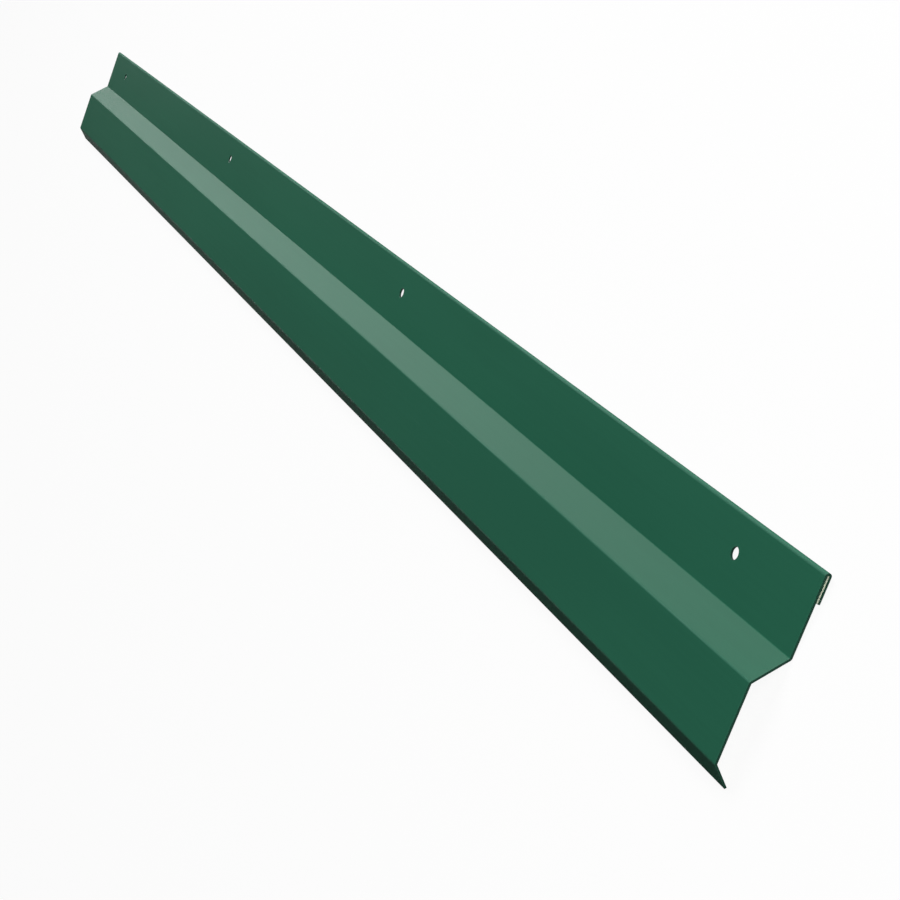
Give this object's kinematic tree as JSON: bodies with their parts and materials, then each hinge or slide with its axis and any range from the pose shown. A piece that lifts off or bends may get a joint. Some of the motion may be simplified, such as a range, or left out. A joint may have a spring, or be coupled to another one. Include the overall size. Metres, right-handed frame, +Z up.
{
  "type": "counter flashing",
  "caption": "Long coated sheet-metal strip with an open hem, a drilled upper leg, a sloping step, a lower leg and a drip kick, fixed to a wall to cover the top edge of a base flashing.",
  "frame": {"origin": "on the floor under the middle of the strip's box, as it lies on its back", "axes": "+X along the strip, +Y towards the hem at its top, +Z up from the floor, the way the painted face looks"},
  "size_m": [2, 0.133, 0.0184],
  "materials": {
    "painted_sheet": "moss green coil coating, satin, on aluminium sheet, with a pale beige backer coat behind"
  },
  "bodies": {
    "root": {"counter_flashing": "painted_sheet"}
  },
  "joints": []
}
